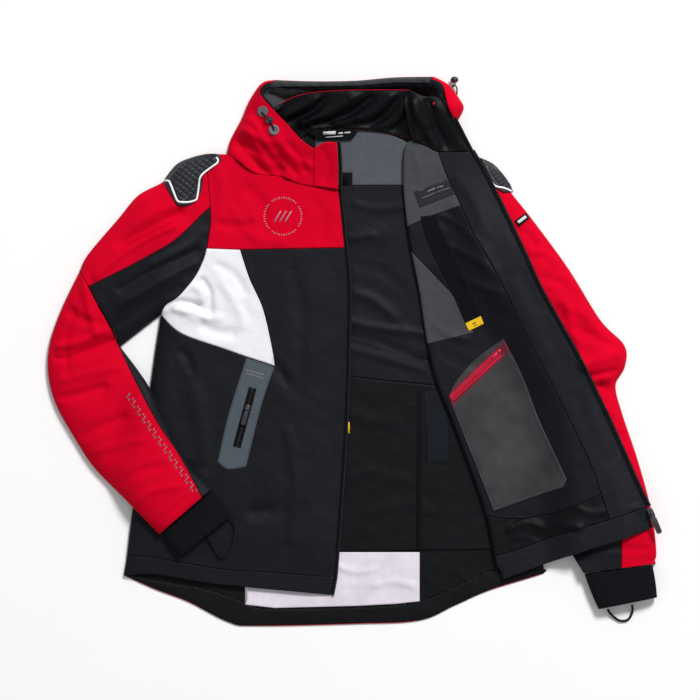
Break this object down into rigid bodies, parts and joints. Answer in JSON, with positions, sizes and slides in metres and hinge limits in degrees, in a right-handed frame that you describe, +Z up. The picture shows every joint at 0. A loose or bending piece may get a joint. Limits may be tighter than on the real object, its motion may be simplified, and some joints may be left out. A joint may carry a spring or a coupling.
{
  "type": "motorcycle hoodie",
  "caption": "Hooded softshell riding jacket laid flat on its back, left front turned open over its sleeve to show the mesh lining and inner pocket.",
  "frame": {"origin": "centre of the jacket's outline, on the surface that it lies on", "axes": "+X across the chest towards the opened front, +Y from the hem to the hood, +Z up from the surface"},
  "size_m": [0.918, 0.8242, 0.0414],
  "materials": {
    "red_softshell": "matt woven softshell, bonded fleece back",
    "black_softshell": "matt woven softshell",
    "white_softshell": "matt woven softshell",
    "grey_mesh": "knitted mesh lining",
    "black_stretch": "stretch jersey lining",
    "inner_white": "smooth brushed lining",
    "blue_grey_trim": "woven trim",
    "zip_tape": "coil zip tape",
    "red_zip": "coil zip tape",
    "inner_pocket": "smooth coated cloth",
    "rib_knit": "rib knit",
    "loop_cord": "woven elastic",
    "yellow_tag": "woven tag",
    "guard_rubber": "moulded grid over foam",
    "cord_lock": "moulded",
    "zip_alloy": "black painted die casting"
  },
  "bodies": {
    "garment": {"back_body": "black_softshell", "back_hem_band": "black_softshell", "back_lining_yoke": "grey_mesh", "back_pocket_panel": "black_stretch", "back_lining_lower": "black_stretch", "back_lining_white": "inner_white", "back_lining_tape": "zip_tape", "pocket_reverse": "blue_grey_trim", "yoke_r": "red_softshell", "white_panel_r": "white_softshell", "front_main_r": "black_softshell", "front_hem_r": "black_softshell", "zip_tape_r": "zip_tape", "pocket_trim": "blue_grey_trim", "pocket_zip": "zip_tape", "sleeve_r_upper_red": "red_softshell", "sleeve_r_upper_black": "black_softshell", "sleeve_r_upper_back": "black_softshell", "sleeve_r_fore_red": "red_softshell", "sleeve_r_fore_black": "black_softshell", "sleeve_r_fore_back": "black_softshell", "sleeve_l_red": "red_softshell", "sleeve_l_black": "black_softshell", "sleeve_l_back": "black_softshell", "cuff_r": "rib_knit", "cuff_l": "rib_knit", "thumb_loop_r": "loop_cord", "thumb_loop_l": "loop_cord", "front_l_shell": "black_softshell", "facing_l": "black_softshell", "lining_mesh_l": "grey_mesh", "lining_mesh_low_l": "grey_mesh", "lining_stretch_l": "black_stretch", "lining_low_l": "black_stretch", "front_hem_l": "black_softshell", "strap_l": "loop_cord", "strap_tag": "yellow_tag", "inner_pocket": "inner_pocket", "inner_pocket_zip": "red_zip", "zip_tape_l": "zip_tape", "hood_under": "red_softshell", "hood_outer": "red_softshell", "collar_front_r": "red_softshell", "hood_rim_band": "black_softshell", "hood_lining": "black_softshell", "collar_back_lining": "black_softshell", "collar_l_lining": "black_softshell", "eyelet_1": "blue_grey_trim", "eyelet_2": "blue_grey_trim", "cord_lock_r": "cord_lock", "cord_lock_l": "cord_lock", "guard_r": "guard_rubber", "guard_l": "guard_rubber", "badge_l": "guard_rubber", "pocket_slider": "zip_alloy", "main_slider": "zip_alloy"},
    "main_tab": {"main_pull": "zip_alloy"},
    "pocket_tab": {"pocket_pull": "zip_alloy"}
  },
  "joints": [
    {"name": "main_pull_hinge", "type": "hinge", "parent": "garment", "child": "main_tab", "pos_m": [0.44288, -0.24127, 0.03232], "axis": [-0.9203, -0.3911, 0], "range_deg": [0, 150]},
    {"name": "pocket_pull_hinge", "type": "hinge", "parent": "garment", "child": "pocket_tab", "pos_m": [-0.16012, -0.08628, 0.0243], "axis": [-0.9615, 0.2747, 0], "range_deg": [0, 150]}
  ]
}
